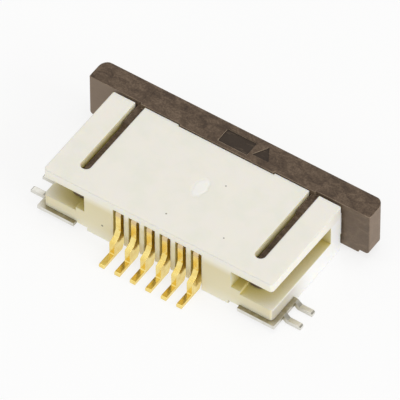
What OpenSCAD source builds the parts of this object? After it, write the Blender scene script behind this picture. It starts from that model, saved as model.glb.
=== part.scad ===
// Flat-cable connector for a circuit board: a row of contacts in a moulded housing,
// a slider that locks the cable, and a solder nail under each ear.
// X runs along the contact row, +Y points to the cable side, +Z points up from the board.
// The origin is the middle of the housing's underside, on the board.

/* [Contact row] */
// Number of contacts
circuits = 6; // [2:1:16]
// Distance between neighbouring contacts
pitch = 1.0; // [0.9:0.05:1.5]
// Thickness of the sheet that the contacts are blanked from
contact_t = 0.33; // [0.2:0.01:0.4]
// Reach of the solder tails in front of the housing
tail_reach = 1.65; // [1.4:0.05:2.4]
// Length of the solder foot in front of the drop
foot_l = 1.0; // [0.5:0.05:1.1]
// Thickness of the solder foot
foot_h = 0.24; // [0.15:0.01:0.35]
// Height of the shoulder where the tail turns down
shoulder_z = 1.05; // [0.8:0.05:1.3]
// Depth of the contact's base, from the front face back
base_d = 1.15; // [0.9:0.05:1.4]
// Length of the stiff upper beam behind the base
upper_beam_l = 4.0; // [3:0.1:4.4]
// Length of the sprung lower beam behind the base
lower_beam_l = 3.75; // [3:0.05:4.2]
// Height of the contact point above the cable seat
point_rise = 0.12; // [0.05:0.01:0.2]

/* [Housing] */
// Distance from the last contact to the end of the housing
end_l = 4.86; // [4.76:0.1:6.06]
// Depth of the housing, front to back
housing_d = 6.65; // [6.45:0.1:8.05]
// Height of the housing's top above the board
housing_h = 3.4; // [3.3:0.05:3.8]
// Thickness of the top plate
top_t = 0.58; // [0.5:0.02:0.66]
// Thickness of the floor under the contacts
floor_t = 0.55; // [0.4:0.05:0.6]
// Height of the seat that the cable lies on
seat_z = 1.4; // [1.3:0.02:1.45]
// Depth of the cable mouth
mouth_d = 3.4; // [3:0.1:3.8]
// Width of the slots that the contacts show through in the front face
window_w = 0.7; // [0.5:0.02:0.75]
// Depth of those slots
window_d = 0.5; // [0.3:0.05:0.8]
// Skin left above the contacts at the front
skin_t = 0.44; // [0.34:0.02:0.54]
// Height of the front wall's lower edge
wall_gap = 0.14; // [0.05:0.01:0.3]
// Height of the relief over the solder tails
tail_relief = 0.5; // [0.4:0.02:0.55]
// Depth of the relief over the solder tails
relief_d = 1.1; // [0.9:0.05:1.3]

/* [Ears] */
// Width of an ear, from the wall of its pocket to the end
ear_w = 2.63; // [2.55:0.02:2.69]
// Width of the prong of the top plate outside its slot
prong_w = 1.42; // [1.34:0.02:1.5]
// Width of the slot in the top plate
slot_w = 0.64; // [0.6:0.02:0.7]
// Length of the slot in the top plate
slot_l = 5.45; // [4.8:0.05:5.6]
// Height of the pocket's floor
pocket_z = 1.35; // [1.25:0.05:1.4]
// Rise of the guide ledge above the pocket's floor
ledge_rise = 0.25; // [0.15:0.01:0.3]
// Width of the guide ledge
ledge_w = 0.56; // [0.4:0.02:0.6]
// Fall of the pocket's roof from the front to the back
roof_draft = 0.2; // [0:0.02:0.24]
// Thickness of the closed block at the back of the ear
block_d = 1.0; // [0.8:0.05:1.2]
// Radius of the housing's upright front corners
corner_r = 0.2; // [0.1:0.02:0.4]

/* [Slider] */
// Overhang of the slider beyond each end of the housing
overhang = 1.70; // [1:0.05:2.5]
// Depth of the slider's bar
bar_d = 1.5; // [1.2:0.05:2]
// Gap between the slider's bar and the back of the housing
bar_gap = 0.15; // [0.1:0.01:0.3]
// Height of the bar's lower edge above the board
bar_z = 0.25; // [0.15:0.05:0.5]
// Rise of the bar's top above the housing
bar_rise = 0.06; // [0:0.01:0.2]
// Radius of the bar's upright back corners
bar_r = 0.6; // [0.3:0.05:0.9]
// Radius of the bar's lower back edge
bar_foot_r = 0.45; // [0.2:0.05:0.6]
// Travel of the slider from locked to open
travel = 1.5; // [1:0.1:1.6]
// Thickness of the wedge that presses on the cable
wedge_t = 0.48; // [0.4:0.01:0.5]
// Length of the wedge in front of the bar
wedge_l = 3.0; // [2.4:0.1:3.1]
// Width of an arm
arm_w = 0.85; // [0.75:0.05:0.9]
// Length of an arm in front of the bar
arm_l = 5.95; // [5.6:0.05:6.1]
// Height of an arm's rib above the lower side of the top plate
rib_rise = 0.05; // [0:0.01:0.2]
// Height of the raised root above the rib
root_rise = 0.25; // [0.1:0.01:0.3]
// Length of the raised root in front of the bar
root_l = 1.45; // [0.8:0.05:2]
// Reach of the hook at the end of an arm
hook_w = 0.3; // [0.2:0.01:0.35]
// Length of the hook
hook_l = 0.5; // [0.4:0.05:0.6]

/* [Solder nails] */
// Thickness of the nail's sheet
nail_t = 0.25; // [0.15:0.01:0.28]
// Height of the nail plate's upper face above the board
nail_z = 0.5; // [0.4:0.02:0.54]
// Length of the nail plate, front to back
nail_d = 2.34; // [1.9:0.02:2.6]
// Reach of the nail plate in front of the housing
nail_front = 0.25; // [0.05:0.02:0.35]
// Reach of the nail plate beyond the side of the ear
nail_side = 0.28; // [0.2:0.02:0.5]
// Width of a prong of the nail
tine_w = 0.3; // [0.24:0.02:0.4]
// Distance between the centres of the two prongs
tine_pitch = 1.12; // [0.9:0.02:1.3]
// Reach of the prongs beyond the nail plate
tine_l = 1.08; // [0.9:0.02:1.3]
// Skin left between the blade of the nail and the pocket's floor
blade_skin = 0.15; // [0.1:0.01:0.3]
// Width of that blade, front to back
blade_w = 1.2; // [0.8:0.05:1.4]

/* [Flat cable] */
// Width of the flat cable beyond the first and last contact, both sides together
cable_margin = 2.0; // [1.6:0.1:2.4]
// Thickness of the flat cable's stiffened end
cable_t = 0.3; // [0.25:0.01:0.32]

/* [Clearances] */
// Gap on each side of a contact or a blade in its slot
fit_gap = 0.03; // [0.02:0.005:0.05]
// Gap on each side of a sliding face
slide_gap = 0.08; // [0.05:0.01:0.09]
// Gap on each side of the flat cable
cable_gap = 0.12; // [0.08:0.01:0.2]

/* [Hidden] */
cut = 1;                            // how far a cutting solid runs past a face
edge_r = 0.1;                       // rounding of small edges, and how far pieces of one node join
arc_steps = 5;                      // straight pieces in a rounded corner

// housing
row_l = (circuits - 1) * pitch;
half_l = row_l / 2 + end_l;
front_y = -housing_d / 2;
back_y = housing_d / 2;
roof_z = housing_h - top_t;
wall_x = half_l - ear_w;            // inner wall of an ear's pocket
slot_out = half_l - prong_w;
slot_in = slot_out - slot_w;
mouth_w = row_l + cable_margin + 2 * cable_gap;
mouth_y = back_y - mouth_d;
channel_w = contact_t + 2 * fit_gap;
notch_d = edge_r;                   // notch in the back edge of the top plate
notch_w = row_l + 1.2;
relief_side = 0.17;                 // how far the relief beside a nail runs past the pocket's wall

// slider
wedge_z = seat_z + cable_t + slide_gap;
bar_front = back_y + bar_gap;
bar_back = bar_front + bar_d;
bar_half = half_l + overhang;
bar_top = housing_h + bar_rise;
flare = 0.5;                        // length of the lead-in at the back of the cable window
lip_d = bar_gap - 0.05;             // lip that closes the gap over the middle of the housing
lip_h = 0.4;
lip_half = slot_in + slot_w / 2;
end_step_w = 0.65;                  // raised lower edge under each end of the bar
end_step_h = 0.22;
end_r = 0.25;                       // lower corners at the ends of the bar
panel_w = 1.9;                      // shallow panel in the bar's top
panel_d = 1.0;
panel_x = 0.2;
mark_w = 1.08;                      // triangle sunk in the bar's top
mark_x = 1.85;
mark_depth = 0.06;
arm_in = slot_in + slide_gap;
arm_out = arm_in + arm_w;
arm_z = pocket_z + slide_gap;
hook_z = pocket_z + ledge_rise + slide_gap;   // underside of the hook, over the ledge
arm_top = roof_z - roof_draft - slide_gap;
arm_tip = bar_front - arm_l;
rib_z = roof_z + rib_rise;
rib_tip = back_y - slot_l + slot_w / 2 + slide_gap;
block_in = arm_out + slide_gap;     // inner face of the block at the back of an ear
stop_y = arm_tip + hook_l + travel + slide_gap;

// contacts
toe_y = front_y - tail_reach;
drop_y = toe_y + foot_l;
heel_y = front_y + edge_r;
heel_run = 3 * edge_r;
base_back = front_y + base_d;
base_proud = 0.03;                  // the base stands this far out of the front face
bend_z = shoulder_z + 0.5;          // where the tail leaves the front face
neck_run = 0.17;
neck_fall = 0.31;
beam_z = floor_t + fit_gap;
beam_under = wedge_z + wedge_t + slide_gap;
base_z = housing_h - skin_t - fit_gap;
lower_tip = base_back + lower_beam_l;
upper_tip = base_back + upper_beam_l;
beam_root = 0.62;                   // height of the lower beam where it leaves the base
upper_fall = 0.12;                  // taper of the upper beam
point_y = lower_tip - 0.65;
point_z = seat_z + point_rise;
point_h = 0.46;                     // height of the lower beam at the contact point
point_run = 1.0;                    // length of the rise to the contact point
tip_fall = 0.38;                    // fall from the contact point to the beam's tip

// nails
nail_in = wall_x + ledge_w;
nail_out = half_l + nail_side;
nail_back = front_y - nail_front + nail_d;
tine_step = 0.28;                   // length of the prong's step down to the board
blade_x = nail_in + nail_t / 2;
blade_y = nail_back - nail_d / 2;
blade_top = pocket_z - blade_skin;
blade_mid = (nail_z + blade_top) / 2;

// Unit vector along v
function unit(v) = v / norm(v);

// Points that round the corner b between its neighbours a and c
function corner(a, b, c, r) = r <= 0 ? [b] :
    let (u = unit(a - b), v = unit(c - b), half = acos(u * v) / 2,
         mid = b + unit(u + v) * r / sin(half),
         first = b + u * r / tan(half) - mid, last = b + v * r / tan(half) - mid,
         start = atan2(first.y, first.x),
         sweep = (atan2(last.y, last.x) - start + 540) % 360 - 180)
    [for (i = [0 : arc_steps]) mid + r * [cos(start + sweep * i / arc_steps),
                                          sin(start + sweep * i / arc_steps)]];

// Outline through points given as [across, up, corner radius]
function outline(p) = [for (i = [0 : len(p) - 1])
    let (n = len(p), a = p[(i + n - 1) % n], b = p[i], c = p[(i + 1) % n])
    each corner([a.x, a.y], [b.x, b.y], [c.x, c.y], b.z)];

// A side view (across Y, up Z) extruded along X
module along_x(x0, x1) {
    translate([x0, 0, 0]) rotate([90, 0, 90]) linear_extrude(x1 - x0) children();
}

// A front view (across X, up Z) extruded along Y
module along_y(y0, y1) {
    translate([0, y1, 0]) rotate([90, 0, 0]) linear_extrude(y1 - y0) children();
}

// A plan (across X, up Y) extruded along Z
module along_z(z0, z1) {
    translate([0, 0, z0]) linear_extrude(z1 - z0) children();
}

// A box between two corners
module box(low, high) {
    translate(low) cube(high - low);
}

// The same piece on the right and mirrored to the left
module both_sides() {
    children();
    mirror([1, 0, 0]) children();
}

// A piece repeated at each contact of the row
module each_contact() {
    for (i = [0 : circuits - 1]) translate([i * pitch - row_l / 2, 0, 0]) children();
}

// ---------------------------------------------------------------- contacts

// Side view of one blanked contact: foot, drop, shoulder, base and the two beams of its fork
module contact_outline() {
    polygon(outline([
        [toe_y, 0, 0.03],
        [heel_y, 0, 0.12],
        [heel_y + heel_run, beam_z, 0.12],
        [base_back, beam_z, 0],
        [point_y - point_run, beam_z + edge_r / 2, 0.5],
        [point_y - edge_r, point_z - point_h, 0.2],
        [lower_tip, point_z - point_h - tip_fall, 0.08],
        [lower_tip, point_z - tip_fall, 0.08],
        [point_y, point_z, 0.16],
        [point_y - point_run / 2, point_z - point_h, 0.3],
        [base_back, beam_z + beam_root, 0.34],
        [base_back, beam_under - upper_fall, 0.26],
        [upper_tip - 5 * edge_r, beam_under, 0.4],
        [upper_tip, beam_under + upper_fall, 0.06],
        [upper_tip, roof_z - fit_gap, 0.06],
        [base_back, roof_z - fit_gap, 0.05],
        [base_back, base_z, 0.06],
        [front_y - base_proud, base_z, 0.16],
        [front_y - base_proud, bend_z, 0.14],
        [front_y - base_proud - neck_run, bend_z - neck_fall, 0.07],
        [drop_y, shoulder_z, 0.12],
        [drop_y, foot_h, 0.07],
        [toe_y, foot_h, 0.07],
    ]));
}

module contact(i) {
    color("goldenrod")
        translate([(i - 1) * pitch - row_l / 2, 0, 0])
            along_x(-contact_t / 2, contact_t / 2) contact_outline();
}

// ---------------------------------------------------------------- housing

// Plan of a slot in the top plate, open at the back and round at the front
module slot_plan() {
    polygon(outline([
        [slot_in, back_y + cut, 0],
        [slot_in, back_y - slot_l, slot_w * 0.49],
        [slot_out, back_y - slot_l, slot_w * 0.49],
        [slot_out, back_y + cut, 0],
    ]));
}

// Top plate with its slots, the sloping roofs of the ears and the shallow notch at the back
module top_plate() {
    difference() {
        union() {
            along_z(roof_z, housing_h) polygon(outline([
                [-half_l, front_y, corner_r], [half_l, front_y, corner_r],
                [half_l, back_y, edge_r], [-half_l, back_y, edge_r],
            ]));
            both_sides() along_x(wall_x, half_l) polygon([
                [front_y + corner_r, roof_z + edge_r], [front_y + corner_r, roof_z],
                [back_y, roof_z - roof_draft], [back_y, roof_z + edge_r],
            ]);
        }
        both_sides() along_z(roof_z - roof_draft - cut, housing_h + cut) slot_plan();
        box([-notch_w / 2, back_y - notch_d, roof_z - cut], [notch_w / 2, back_y + cut, housing_h + cut]);
    }
}

// One ear under the top plate: floor, guide ledge, closed block at the back and stop for the hook
module ear() {
    along_z(0, pocket_z) polygon(outline([
        [wall_x - edge_r, front_y, 0], [half_l, front_y, corner_r],
        [half_l, back_y, edge_r], [wall_x - edge_r, back_y, 0],
    ]));
    box([wall_x - edge_r, front_y, pocket_z - edge_r], [wall_x + ledge_w, back_y, pocket_z + ledge_rise]);
    box([block_in, back_y - block_d, pocket_z - edge_r], [half_l, back_y, roof_z]);
    box([wall_x - edge_r, stop_y, pocket_z], [arm_in - slide_gap, stop_y + hook_l, roof_z]);
}

// Channel that holds a contact, from the front face back under the cable seat
module contact_channel() {
    side = channel_w / 2;
    box([-side, front_y - cut, floor_t], [side, base_back + fit_gap, base_z + fit_gap]);
    box([-side, front_y - cut, -cut], [side, front_y + relief_d, base_z]);
    box([-side, base_back, floor_t], [side, mouth_y + cut, roof_z]);
    box([-side, mouth_y, floor_t], [side, lower_tip + 3 * slide_gap, seat_z + cut]);
    box([-window_w / 2, front_y - cut, -cut], [window_w / 2, front_y + window_d, housing_h - skin_t]);
}

// Room under one ear for the solder nail and its blade
module nail_pocket() {
    box([nail_in - fit_gap, front_y - cut, -cut], [half_l + cut, nail_back + fit_gap, nail_z]);
    box([blade_x - fit_gap, blade_y - blade_w / 2 - fit_gap, -cut],
        [blade_x + nail_t + fit_gap, blade_y + blade_w / 2 + fit_gap, blade_top + fit_gap]);
    box([wall_x - relief_side, front_y - cut, -cut], [nail_in + cut, nail_back + fit_gap, nail_z - edge_r]);
}

module housing() {
    color("ivory") difference() {
        union() {
            top_plate();
            box([-wall_x, front_y, 0], [wall_x, back_y, roof_z + edge_r]);
            both_sides() ear();
        }
        // mouth for the cable
        box([-mouth_w / 2, mouth_y, seat_z], [mouth_w / 2, back_y + cut, roof_z]);
        each_contact() contact_channel();
        // relief over the solder tails, and the raised lower edge of the front wall
        box([-row_l / 2 - window_w / 2, front_y - cut, -cut],
            [row_l / 2 + window_w / 2, front_y + relief_d, tail_relief]);
        box([-wall_x, front_y - cut, -cut], [wall_x, front_y + window_d, wall_gap]);
        both_sides() nail_pocket();
    }
}

// ---------------------------------------------------------------- slider

// Plan of the slider's bar, round at its back corners
module bar_plan() {
    polygon(outline([
        [-bar_half, bar_front, edge_r / 2], [bar_half, bar_front, edge_r / 2],
        [bar_half, bar_back, bar_r], [-bar_half, bar_back, bar_r],
    ]));
}

// Solid of the bar from its plan, side and front views; its lower edge is at height low
module bar_body(half, low, low_r) {
    intersection() {
        along_z(low, bar_top) bar_plan();
        along_x(-half, half) polygon(outline([
            [bar_front, low, 0], [bar_back, low, bar_foot_r],
            [bar_back, bar_top, edge_r], [bar_front, bar_top, 0],
        ]));
        along_y(bar_front, bar_back) polygon(outline([
            [-half, low, low_r], [half, low, low_r], [half, bar_top, 0], [-half, bar_top, 0],
        ]));
    }
}

// One arm: the guided beam, the rib that shows in the slot, its raised root and the hook
module arm() {
    along_z(arm_z, arm_top) polygon(outline([
        [arm_in, bar_front + edge_r, 0], [arm_in, arm_tip, edge_r],
        [arm_out, arm_tip, arm_w * 0.45], [arm_out, bar_front + edge_r, 0],
    ]));
    along_z(hook_z, arm_top) polygon([
        [arm_in + edge_r, arm_tip + edge_r], [arm_in, arm_tip + edge_r],
        [arm_in - hook_w, arm_tip + hook_l / 2], [arm_in - hook_w, arm_tip + hook_l],
        [arm_in + edge_r, arm_tip + hook_l],
    ]);
    along_x(arm_in, slot_out - slide_gap) polygon(outline([
        [bar_front + edge_r, arm_top - edge_r, 0], [rib_tip, arm_top - edge_r, 0],
        [rib_tip, rib_z, edge_r], [bar_front - root_l - root_rise, rib_z, root_rise],
        [bar_front - root_l, rib_z + root_rise, root_rise / 2], [bar_front + edge_r, rib_z + root_rise, 0],
    ]));
}

// Opening for the cable through the bar, with its flared lead-in at the back
module cable_window() {
    along_x(-mouth_w / 2, mouth_w / 2) polygon([
        [bar_front - cut, seat_z - slide_gap], [bar_front - cut, wedge_z],
        [bar_back - flare, wedge_z], [bar_back, wedge_z + flare / 2],
        [bar_back + cut, wedge_z + flare / 2], [bar_back + cut, seat_z - slide_gap - flare / 2],
        [bar_back, seat_z - slide_gap - flare / 2], [bar_back - flare, seat_z - slide_gap],
    ]);
}

// Plan of the lip on the front of the bar, with its middle reaching into the housing's notch
module lip_plan() {
    notch_half = notch_w / 2 - slide_gap;
    polygon([
        [-lip_half, bar_front + edge_r], [-lip_half, bar_front - lip_d],
        [-notch_half, bar_front - lip_d], [-notch_half, bar_front - lip_d - notch_d],
        [notch_half, bar_front - lip_d - notch_d], [notch_half, bar_front - lip_d],
        [lip_half, bar_front - lip_d], [lip_half, bar_front + edge_r],
    ]);
}

// Panel and triangle sunk in the top of the bar
module bar_marks() {
    middle = (bar_front + bar_back) / 2;
    box([panel_x - panel_w / 2, middle - panel_d * 0.7, bar_top - mark_depth],
        [panel_x + panel_w / 2, middle + panel_d * 0.3, bar_top + cut]);
    along_z(bar_top - mark_depth, bar_top + cut) polygon([
        [mark_x - mark_w / 2, middle - mark_w * 0.45], [mark_x + mark_w / 2, middle - mark_w * 0.45],
        [mark_x, middle + mark_w * 0.41],
    ]);
}

module slider() {
    color("#4c4038") {
        difference() {
            union() {
                // the lower edge is raised under each end
                bar_body(bar_half, bar_z + end_step_h, end_r);
                bar_body(bar_half - end_step_w, bar_z, edge_r);
                along_z(bar_top - lip_h, bar_top) lip_plan();
            }
            cable_window();
            bar_marks();
        }
        // wedge over the cable
        along_x(-mouth_w / 2 + slide_gap, mouth_w / 2 - slide_gap) polygon(outline([
            [bar_front + edge_r, wedge_z, 0], [bar_front - wedge_l + wedge_t, wedge_z, 0],
            [bar_front - wedge_l, wedge_z + wedge_t / 2, edge_r],
            [bar_front - wedge_l, wedge_z + wedge_t, edge_r / 2], [bar_front + edge_r, wedge_z + wedge_t, 0],
        ]));
        both_sides() arm();
    }
}

// ---------------------------------------------------------------- solder nails

// The right nail: plate under the ear, two prongs stepped down to the board, and the barbed blade
module nail() {
    box([nail_in, front_y - nail_front, nail_z - nail_t], [nail_out, nail_back, nail_z]);
    for (y = [nail_back - tine_w / 2, nail_back - tine_w / 2 - tine_pitch])
        along_y(y - tine_w / 2, y + tine_w / 2) polygon([
            [nail_out - edge_r, nail_z], [nail_out, nail_z], [nail_out + tine_step, nail_t],
            [nail_out + tine_l - nail_t / 3, nail_t], [nail_out + tine_l, nail_t * 2 / 3],
            [nail_out + tine_l, 0], [nail_out + tine_step - nail_t / 2, 0],
            [nail_out - edge_r, nail_z - nail_t],
        ]);
    along_x(blade_x, blade_x + nail_t) polygon([
        [blade_y - blade_w / 2, nail_z - nail_t / 2], [blade_y + blade_w / 2, nail_z - nail_t / 2],
        [blade_y + blade_w / 2, blade_mid], [blade_y + blade_w / 2 - edge_r, blade_top],
        [blade_y - blade_w / 2 + edge_r, blade_top], [blade_y - blade_w / 2, blade_mid],
    ]);
}

module nail_right() {
    color("silver") nail();
}

module nail_left() {
    color("silver") mirror([1, 0, 0]) nail();
}

housing();
slider();
for (i = [1 : circuits]) contact(i);
nail_left();
nail_right();
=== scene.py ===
"""A six-way flat cable connector with a locking slider, on a pale studio floor.

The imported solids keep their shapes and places. Each of the four finishes is mixed
here, and the floor, the lamps and the camera are set round the part.
"""

import math

import bpy
from mathutils import Matrix, Vector


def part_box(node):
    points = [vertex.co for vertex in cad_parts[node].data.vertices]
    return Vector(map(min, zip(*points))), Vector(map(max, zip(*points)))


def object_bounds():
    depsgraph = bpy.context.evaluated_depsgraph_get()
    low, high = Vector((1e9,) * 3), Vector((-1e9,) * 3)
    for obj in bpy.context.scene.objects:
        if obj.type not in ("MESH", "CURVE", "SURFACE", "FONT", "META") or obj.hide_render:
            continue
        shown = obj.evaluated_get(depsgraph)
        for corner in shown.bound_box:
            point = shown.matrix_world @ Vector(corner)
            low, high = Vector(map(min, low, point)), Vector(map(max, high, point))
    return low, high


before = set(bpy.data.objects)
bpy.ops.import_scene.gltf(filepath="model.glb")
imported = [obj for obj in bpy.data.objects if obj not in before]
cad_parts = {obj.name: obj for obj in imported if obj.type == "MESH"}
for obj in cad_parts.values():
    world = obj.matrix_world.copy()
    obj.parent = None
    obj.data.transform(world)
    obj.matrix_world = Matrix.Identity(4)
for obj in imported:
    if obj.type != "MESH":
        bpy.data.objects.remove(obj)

MM = 0.001
CAD_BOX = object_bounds()

# The lengths and points below are in millimetres of the part's own frame.
HOUSING_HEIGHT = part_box("housing")[1].z / MM
BAR_DEPTH = 1.5
BAR_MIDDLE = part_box("slider")[1].y / MM - BAR_DEPTH / 2
SUNK_MARKS = (3.38, 3.41)           # heights round the floors of the bar's sunk marks
GATE_MARK = (0.36, 0.26, 3.4)
SPECKS = (                          # centre and radius
    ((-0.13, -2.27, 3.4), 0.035),
    ((1.42, 1.12, 3.4), 0.03),
    ((3.37, -1.98, 3.4), 0.03),
    ((-3.57, -3.325, 1.2), 0.05),
)


def srgb(red, green, blue):
    """A colour given in 0 to 255 display values, as the linear colour a shader takes."""
    linear = [
        c / 12.92 if c <= 0.04045 else ((c + 0.055) / 1.055) ** 2.4
        for c in (red / 255, green / 255, blue / 255)
    ]
    return (*linear, 1.0)


class Signal:
    """One shader output that can be used in ordinary arithmetic."""

    def __init__(self, finish, socket):
        self.finish = finish
        self.socket = socket

    def _math(self, operation, *operands, clamp=False):
        return self.finish.node(
            "ShaderNodeMath",
            {"operation": operation, "use_clamp": clamp},
            dict(enumerate(operands)),
        )

    def __add__(self, other):
        return self._math("ADD", self, other)

    def __radd__(self, other):
        return self._math("ADD", other, self)

    def __sub__(self, other):
        return self._math("SUBTRACT", self, other)

    def __rsub__(self, other):
        return self._math("SUBTRACT", other, self)

    def __mul__(self, other):
        return self._math("MULTIPLY", self, other)

    def __rmul__(self, other):
        return self._math("MULTIPLY", other, self)

    def __truediv__(self, other):
        return self._math("DIVIDE", self, other)

    def __rtruediv__(self, other):
        return self._math("DIVIDE", other, self)

    def __neg__(self):
        return self._math("MULTIPLY", self, -1.0)

    def __abs__(self):
        return self._math("ABSOLUTE", self)

    def clamp(self):
        return self._math("ADD", self, 0.0, clamp=True)

    def above(self, edge, width):
        """0 below edge and 1 above edge + width, with a soft step between."""
        return self.finish.node(
            "ShaderNodeMapRange",
            {"interpolation_type": "SMOOTHSTEP"},
            {"Value": self, "From Min": edge, "From Max": edge + width},
        )

    def below(self, edge, width):
        """1 below edge and 0 above edge + width, with a soft step between."""
        return 1 - self.above(edge, width)


class Finish:
    """A node material, or the world, that is built up by calls."""

    def __init__(self, name, owner=None):
        self.owner = owner or bpy.data.materials.new(name)
        self.owner.use_nodes = True
        self.tree = self.owner.node_tree
        self.tree.nodes.clear()

    def node(self, kind, settings=None, inputs=None, output=0):
        """Adds a node: its settings first, then the values or links of its sockets."""
        made = self.tree.nodes.new(kind)
        for name, value in (settings or {}).items():
            if name == "stops":
                self._set_stops(made.color_ramp, value)
            else:
                setattr(made, name, value)
        for key, value in (inputs or {}).items():
            socket = made.inputs[key]
            if isinstance(value, Signal):
                self.tree.links.new(value.socket, socket)
            else:
                socket.default_value = value
        if not made.outputs:
            return None
        return Signal(self, made.outputs[output])

    @staticmethod
    def _set_stops(ramp, stops):
        while len(ramp.elements) > 1:
            ramp.elements.remove(ramp.elements[-1])
        ramp.elements[0].position, ramp.elements[0].color = stops[0]
        for position, colour in stops[1:]:
            ramp.elements.new(position).color = colour

    def place(self):
        """The point on the piece, in millimetres of the part's own frame."""
        metres = self.node("ShaderNodeTexCoord", output="Object")
        return self.vector("SCALE", metres, Scale=1 / MM)

    def vector(self, operation, first, second=None, **named):
        inputs = {0: first, **named}
        if second is not None:
            inputs[1] = second
        output = "Value" if operation in ("DOT_PRODUCT", "LENGTH", "DISTANCE") else "Vector"
        return self.node("ShaderNodeVectorMath", {"operation": operation}, inputs, output)

    def axes(self, vector):
        split = self.node("ShaderNodeSeparateXYZ", None, {0: vector})
        node = split.socket.node
        return [Signal(self, node.outputs[i]) for i in range(3)]

    def stretch(self, vector, x, y, z):
        return self.vector("MULTIPLY", vector, (x, y, z))

    def noise(self, place, scale, detail=3.0, roughness=0.55, distortion=0.0):
        """Cloudy variation with about `scale` lumps to the millimetre."""
        return self.node(
            "ShaderNodeTexNoise",
            None,
            {
                "Vector": place,
                "Scale": scale,
                "Detail": detail,
                "Roughness": roughness,
                "Distortion": distortion,
            },
            "Fac",
        )

    def ramp(self, factor, *stops):
        return self.node("ShaderNodeValToRGB", {"stops": stops}, {"Fac": factor}, "Color")

    def mix(self, factor, first, second):
        """The first colour where factor is 0 and the second where it is 1."""
        return self.node(
            "ShaderNodeMix",
            {"data_type": "RGBA", "blend_type": "MIX", "clamp_factor": True},
            {0: factor, 6: first, 7: second},
            2,
        )

    def openness(self, reach, own_piece_only):
        """1 in the open and 0 deep inside a pocket; reach is in millimetres."""
        return self.node(
            "ShaderNodeAmbientOcclusion",
            {"samples": 12, "only_local": own_piece_only},
            {"Distance": reach * MM},
            "AO",
        )

    def soft_edges(self, radius):
        """The normal of the surface with its edges rounded to radius, in millimetres."""
        return self.node("ShaderNodeBevel", {"samples": 6}, {"Radius": radius * MM})

    def facing(self):
        """The surface's own normal, before its edges are rounded."""
        return self.node("ShaderNodeNewGeometry", output="Normal")

    def edge_mask(self, rounded):
        """0 on flats and towards 1 on rounded edges."""
        return 1 - self.vector("DOT_PRODUCT", rounded, self.facing())

    def bump(self, height, depth, normal):
        """depth is the height in millimetres of a full step of the height signal."""
        return self.node(
            "ShaderNodeBump",
            None,
            {"Strength": 1.0, "Distance": depth * MM, "Height": height, "Normal": normal},
        )

    def surface(self, inputs):
        """Ends the material with one Principled shader, and returns the material."""
        shader = self.node("ShaderNodeBsdfPrincipled", None, inputs)
        self.node("ShaderNodeOutputMaterial", None, {"Surface": shader})
        return self.owner


def ivory_plastic():
    """Pale moulded nylon: white where it is open, with painted shade cream down its walls and
    olive in its pockets, and painted light on its outer side walls and open edges.
    """
    f = Finish("ivory_plastic")
    at = f.place()
    depth, height = f.axes(at)[1:]
    sideways, front = (abs(part) for part in f.axes(f.facing())[:2])
    clouds = f.noise(at, 0.7, 4.0)
    grain = f.noise(at, 26.0, 3.0, 0.6)
    open_air = f.openness(2.2, own_piece_only=True)

    # painted light and shade on the front and back walls: cream down the middle, paler at the
    # foot and the top
    painted_wall_shading = f.ramp(
        height / HOUSING_HEIGHT,
        (0.0, srgb(243, 239, 220)),
        (0.3, srgb(235, 226, 190)),
        (0.72, srgb(231, 220, 180)),
        (0.86, srgb(249, 244, 226)),
        (1.0, srgb(250, 247, 238)),
    )
    face = f.mix(clouds.above(0.4, 0.3), srgb(235, 231, 221), srgb(231, 229, 217))
    # painted light and shade: the outer walls are painted whiter than the top, and painted greyer
    # low down towards the front as shadow under the overhang
    painted_side_light = sideways.above(0.5, 0.4) * height.below(2.5, 0.2)
    face = f.mix(painted_side_light, face, srgb(238, 238, 235))
    painted_overhang_shade = painted_side_light * height.below(1.1, 0.4) * depth.below(-2.6, 3.2)
    face = f.mix(painted_overhang_shade * 0.85, face, srgb(184, 175, 152))
    colour = f.mix(front.above(0.5, 0.4), face, painted_wall_shading)
    # painted shade: olive deep in the pockets, paler towards the top
    pocket = f.ramp(
        open_air,
        (0.0, srgb(212, 195, 98)),
        (0.3, srgb(214, 198, 114)),
        (0.6, srgb(224, 213, 156)),
        (0.85, srgb(238, 234, 214)),
    )
    pocket = f.mix(height.above(2.8, 0.3) * 0.6, pocket, srgb(246, 240, 216))
    colour = f.mix(open_air.below(0.55, 0.35), colour, pocket)
    rounded = f.soft_edges(0.09)
    edge = f.edge_mask(rounded)
    # painted highlight: the rounded edges out in the open are lighter
    painted_edge_highlight = edge.above(0.02, 0.12) * open_air.above(0.7, 0.2)
    colour = f.mix(painted_edge_highlight * 0.3, colour, srgb(244, 242, 234))

    from_gate = f.stretch(f.vector("SUBTRACT", at, GATE_MARK), 2.5, 1.33, 1.0)
    gate = f.vector("LENGTH", from_gate) + f.noise(at, 3.0, 2.0) * 0.5 - 0.25
    gate_ring = gate.above(0.7, 0.16) * gate.below(0.95, 0.2)
    colour = f.mix(gate.below(0.7, 0.4) * 0.6, colour, srgb(243, 242, 238))

    for centre, radius in SPECKS:
        speck = f.vector("DISTANCE", at, centre).below(radius, 0.03)
        colour = f.mix(speck * 0.8, colour, srgb(104, 94, 76))

    relief = grain * 0.5 + f.noise(at, 7.0, 2.0) * 0.5 + gate_ring * -3.0
    return f.surface(
        {
            "Base Color": colour,
            "Roughness": 0.5 + grain * 0.12,
            "Normal": f.bump(relief, 0.004, rounded),
            "Specular IOR Level": 0.4,
            "Subsurface Weight": 0.25,
            "Subsurface Radius": (1.0, 0.8, 0.35),
            "Subsurface Scale": 0.35 * MM,
        }
    )


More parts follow.
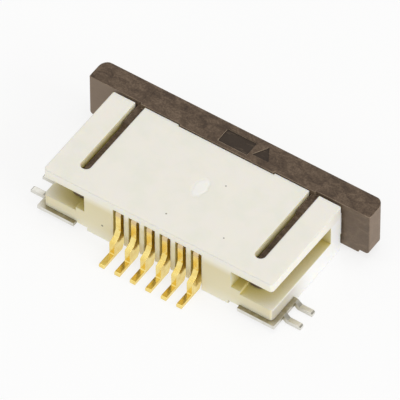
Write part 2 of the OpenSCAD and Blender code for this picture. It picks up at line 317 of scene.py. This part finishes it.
def brown_plastic():
    """Dark brown moulded slider: mottled by the melt and paler in scuffed streaks, with painted
    sheen on its upright faces and painted highlights along its edges.
    """
    f = Finish("brown_plastic")
    at = f.place()
    x, y, z = f.axes(at)
    side, _, up = f.axes(f.facing())
    across_bar = y - BAR_MIDDLE
    flow = f.noise(f.stretch(at, 0.8, 1.2, 1.2), 1.6, 5.0, 0.62, 0.8)
    fine = f.noise(at, 9.0, 4.0, 0.68)
    rub = f.noise(f.stretch(at, 0.5, 3.0, 3.0), 2.4, 4.0, 0.6)
    colour = f.ramp(
        flow * 0.6 + fine * 0.4,
        (0.34, srgb(52, 38, 26)),
        (0.5, srgb(82, 66, 51)),
        (0.66, srgb(116, 98, 80)),
    )
    upright = up.below(0.3, 0.4)
    # painted sheen: the upright faces are paler than the top, most of all at the left end
    pale = 0.4 + x.below(-8.5, 5.0) * 0.45 + side.above(0.5, 0.3) * 0.2
    colour = f.mix(upright * pale, colour, srgb(142, 124, 106))
    sunk = z.above(SUNK_MARKS[0], 0.005) * z.below(SUNK_MARKS[1], 0.01) * up.above(0.7, 0.2)
    colour = f.mix(sunk * 0.9, colour, srgb(44, 33, 22))
    rounded = f.soft_edges(0.07)
    edge = f.edge_mask(rounded)
    # painted highlight along the rim and upright edges, broken up by wear
    rim = (across_bar.below(-0.58, 0.06) + across_bar.above(0.52, 0.06) + upright).clamp()
    wear_and_highlight = 0.45 + rub.above(0.4, 0.2) * 0.45
    colour = f.mix(edge.above(0.015, 0.08) * rim * wear_and_highlight, colour, srgb(176, 156, 132))
    colour = f.mix(rub.above(0.6, 0.1) * 0.3, colour, srgb(122, 104, 86))
    return f.surface(
        {
            "Base Color": colour,
            "Roughness": 0.46 + fine * 0.16,
            "Normal": f.bump(fine * 0.7 + flow * 0.8, 0.012, rounded),
            "Specular IOR Level": 0.25,
        }
    )


def gilt():
    """Gold flash over stamped bronze, rolled along its length, paler, beige and rougher towards
    its top.
    """
    f = Finish("gilt")
    at = f.place()
    z = f.axes(at)[2]
    rolled = f.noise(f.stretch(at, 22.0, 1.2, 1.2), 1.0, 3.0, 0.6)
    clouds = f.noise(at, 2.4, 3.0)
    colour = f.ramp(
        clouds,
        (0.35, srgb(237, 208, 118)),
        (0.62, srgb(245, 224, 146)),
    )
    # the top is paler and beige, and rougher
    beige_top = (z + clouds * 0.3).above(2.6, 0.3)
    colour = f.mix(beige_top * 0.8, colour, srgb(214, 192, 158))
    rounded = f.soft_edges(0.025)
    return f.surface(
        {
            "Base Color": colour,
            "Metallic": 1.0,
            "Roughness": 0.12 + rolled * 0.1 + beige_top * 0.2,
            "Normal": f.bump(rolled, 0.002, rounded),
        }
    )


def tin():
    """Matt tin plating on the folded nails, with painted shade where it lies close under the ears
    and painted dark reflections at the bends.
    """
    f = Finish("tin")
    at = f.place()
    up = f.axes(f.facing())[2]
    clouds = f.noise(at, 3.2, 4.0)
    grain = f.noise(at, 30.0, 2.0)
    open_air = f.openness(0.9, own_piece_only=False)
    # painted shade: darker where other pieces close round it
    colour = f.ramp(
        open_air,
        (0.3, srgb(146, 137, 110)),
        (0.74, srgb(160, 152, 126)),
        (0.95, srgb(224, 222, 214)),
    )
    # painted reflection: the sloped faces of the bends are darker
    painted_bend_reflection = up.above(0.3, 0.1) * up.below(0.8, 0.15)
    colour = f.mix(painted_bend_reflection * 0.8, colour, srgb(116, 112, 98))
    colour = f.mix(clouds.above(0.45, 0.25) * 0.4, colour, srgb(196, 192, 180))
    rounded = f.soft_edges(0.03)
    return f.surface(
        {
            "Base Color": colour,
            "Metallic": 1.0,
            "Roughness": 0.26 + grain * 0.14,
            "Normal": f.bump(grain, 0.003, rounded),
        }
    )


def dress(finish, *nodes):
    """Gives the named pieces one finish."""
    for node in nodes:
        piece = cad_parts[node]
        piece.data.materials.clear()
        piece.data.materials.append(finish)


def studio_floor(level):
    """A pale sheet under the part that reads white and keeps the part's shadow."""
    half = 1.5
    corners = [(x * half, y * half, level) for x, y in ((-1, -1), (1, -1), (1, 1), (-1, 1))]
    mesh = bpy.data.meshes.new("floor")
    mesh.from_pydata(corners, [], [(0, 1, 2, 3)])
    floor = bpy.data.objects.new("floor", mesh)
    bpy.context.scene.collection.objects.link(floor)
    f = Finish("pale_floor")
    paper = f.noise(f.place(), 0.02, 2.0)
    matt = f.node(
        "ShaderNodeBsdfDiffuse",
        None,
        {"Color": f.ramp(paper, (0.3, srgb(243, 243, 242)), (0.7, srgb(246, 246, 245)))},
    )
    glow = f.node("ShaderNodeEmission", None, {"Color": (1, 1, 1, 1), "Strength": 1.0})
    both = f.node("ShaderNodeMixShader", None, {0: seen_background(f) * 0.75, 1: matt, 2: glow})
    f.node("ShaderNodeOutputMaterial", None, {"Surface": both})
    mesh.materials.append(f.owner)
    # the sheet stops no light, so the fill from below reaches the part
    floor.visible_diffuse = False
    floor.visible_shadow = False


def seen_background(f):
    """1 for rays by which the background itself is seen, directly or in metal."""
    path = f.node("ShaderNodeLightPath").socket.node
    rays = ("Is Camera Ray", "Is Glossy Ray", "Is Transmission Ray")
    camera, glossy, transmission = (Signal(f, path.outputs[ray]) for ray in rays)
    return (camera + glossy + transmission).clamp()


def studio_world():
    """White where it is seen, and a plain fill, stronger from below, where it lights the part."""
    world = bpy.data.worlds.new("studio")
    bpy.context.scene.world = world
    f = Finish("studio", world)
    seen = seen_background(f)
    up = f.axes(f.node("ShaderNodeTexCoord", output="Generated"))[2]
    fill = 0.62 + up.below(-0.1, 0.2) * 0.38
    sky = f.node(
        "ShaderNodeBackground",
        None,
        {"Color": (1, 1, 1, 1), "Strength": seen + (1 - seen) * fill},
    )
    f.node("ShaderNodeOutputWorld", None, {"Surface": sky})


def softbox(name, place, size, watts):
    """A square lamp at `place`, in metres, that faces the part."""
    lamp = bpy.data.lights.new(name, "AREA")
    lamp.shape, lamp.size, lamp.energy = "SQUARE", size, watts
    box = bpy.data.objects.new(name, lamp)
    bpy.context.scene.collection.objects.link(box)
    box.location = place
    box.rotation_euler = (-Vector(place)).to_track_quat("-Z", "Y").to_euler()


def studio_camera(azimuth, elevation, distance, lens, aim, roll):
    """Looks at `aim` from the given bearing; 0 looks along +Y and 90 along -X."""
    a, e = math.radians(azimuth), math.radians(elevation)
    back = Vector((math.sin(a) * math.cos(e), -math.cos(a) * math.cos(e), math.sin(e)))
    data = bpy.data.cameras.new("camera")
    data.sensor_width, data.lens = 36.0, lens
    camera = bpy.data.objects.new("camera", data)
    bpy.context.scene.collection.objects.link(camera)
    look = (-back).to_track_quat("-Z", "Y").to_matrix()
    turn = look @ Matrix.Rotation(math.radians(roll), 3, "Z")
    camera.matrix_world = Matrix.Translation(aim + back * distance) @ turn.to_4x4()
    bpy.context.scene.camera = camera


dress(ivory_plastic(), "housing")
dress(brown_plastic(), "slider")
dress(gilt(), *[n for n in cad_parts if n.startswith("contact_")])
dress(tin(), "nail_left", "nail_right")

studio_floor(CAD_BOX[0].z - 0.01 * MM)
studio_world()
softbox("overhead", (0.02, 0.05, 0.42), 0.3, 0.52)
softbox("right_side", (0.42, -0.02, 0.16), 0.26, 0.72)
studio_camera(34.20, 49.17, 0.4347, 730.2, Vector((0.0, 0.745, 1.7)) * MM, -0.17)

bpy.context.scene.view_settings.view_transform = "Standard"
